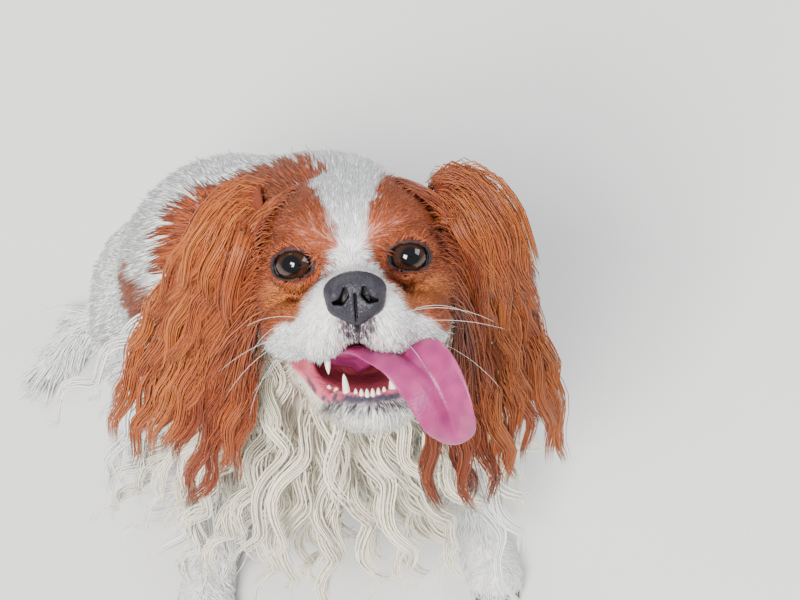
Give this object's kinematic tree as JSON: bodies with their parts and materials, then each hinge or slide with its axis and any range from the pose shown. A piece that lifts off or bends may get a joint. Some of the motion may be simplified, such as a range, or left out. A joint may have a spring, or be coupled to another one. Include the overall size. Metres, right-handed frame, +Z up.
{
  "type": "cavalier king charles spaniel",
  "caption": "Life-size still model of a seated toy spaniel with long feathered ears, a wavy chest ruff, raised head and open mouth with its tongue out.",
  "frame": {"origin": "on the floor, in the middle of the flat that the dog sits on", "axes": "-Y is forward along the dog, +X is its left, +Z is up"},
  "size_m": [0.3138, 0.4432, 0.4611],
  "materials": {
    "white_coat": "long soft white hair",
    "curly_coat": "long wavy cream-white hair",
    "chestnut_coat": "long silky chestnut hair",
    "parti_coat": "white hair with chestnut patches",
    "nose_leather": "pebbled, moist",
    "eye": "wet, dark brown iris",
    "tongue": "moist, pink"
  },
  "bodies": {
    "root": {"head": "parti_coat", "lower_jaw": "white_coat", "tongue": "tongue", "nose": "nose_leather", "eye_left": "eye", "eye_right": "eye", "ear_left": "chestnut_coat", "ear_right": "chestnut_coat", "neck": "parti_coat", "chest": "curly_coat", "torso": "parti_coat", "foreleg_left": "white_coat", "foreleg_right": "white_coat", "forepaw_left": "white_coat", "forepaw_right": "white_coat", "thigh_left": "parti_coat", "thigh_right": "parti_coat", "hind_leg_left": "white_coat", "hind_leg_right": "white_coat", "hind_paw_left": "white_coat", "hind_paw_right": "white_coat", "tail": "white_coat"}
  },
  "joints": []
}
